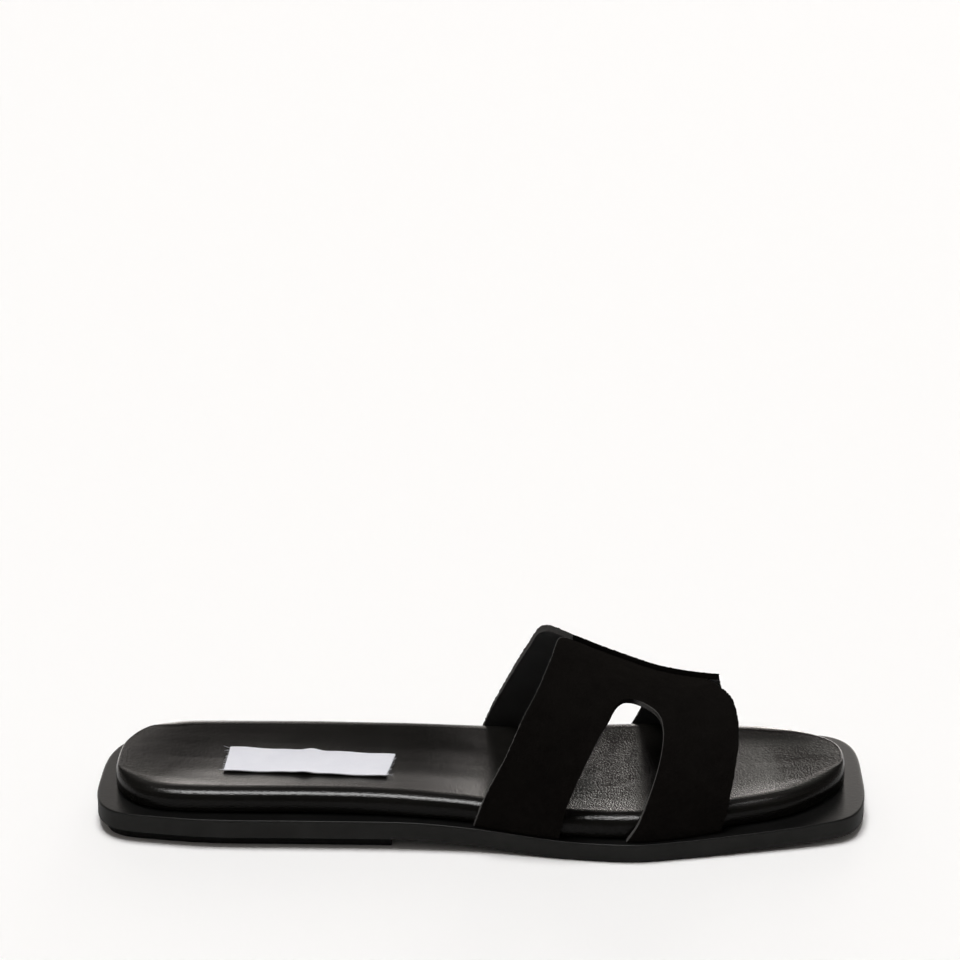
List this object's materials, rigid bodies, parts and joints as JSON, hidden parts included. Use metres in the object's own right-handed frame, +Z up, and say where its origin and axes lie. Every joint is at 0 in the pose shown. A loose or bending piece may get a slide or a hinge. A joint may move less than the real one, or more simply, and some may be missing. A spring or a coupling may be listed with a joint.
{
  "type": "slide sandal",
  "caption": "Flat slide sandal for a right foot: squared outsole on a heel lift, padded footbed with rolled edge, and crossing suede panels with side cut-outs.",
  "frame": {"origin": "on the floor, under the middle of the whole sandal's box", "axes": "+X from heel to toe, +Y towards the big toe's side, +Z up"},
  "size_m": [0.2605, 0.09, 0.0608],
  "materials": {
    "outsole_rubber": "matt black moulded rubber",
    "lift_rubber": "matt black rubber",
    "footbed_leather": "smooth black leather with a soft gloss",
    "suede": "black suede, smooth dark lining",
    "woven_label": "plain white woven tape, blank"
  },
  "bodies": {
    "root": {"outsole": "outsole_rubber", "heel_lift": "lift_rubber", "footbed": "footbed_leather", "upper": "suede", "label": "woven_label"}
  },
  "joints": []
}
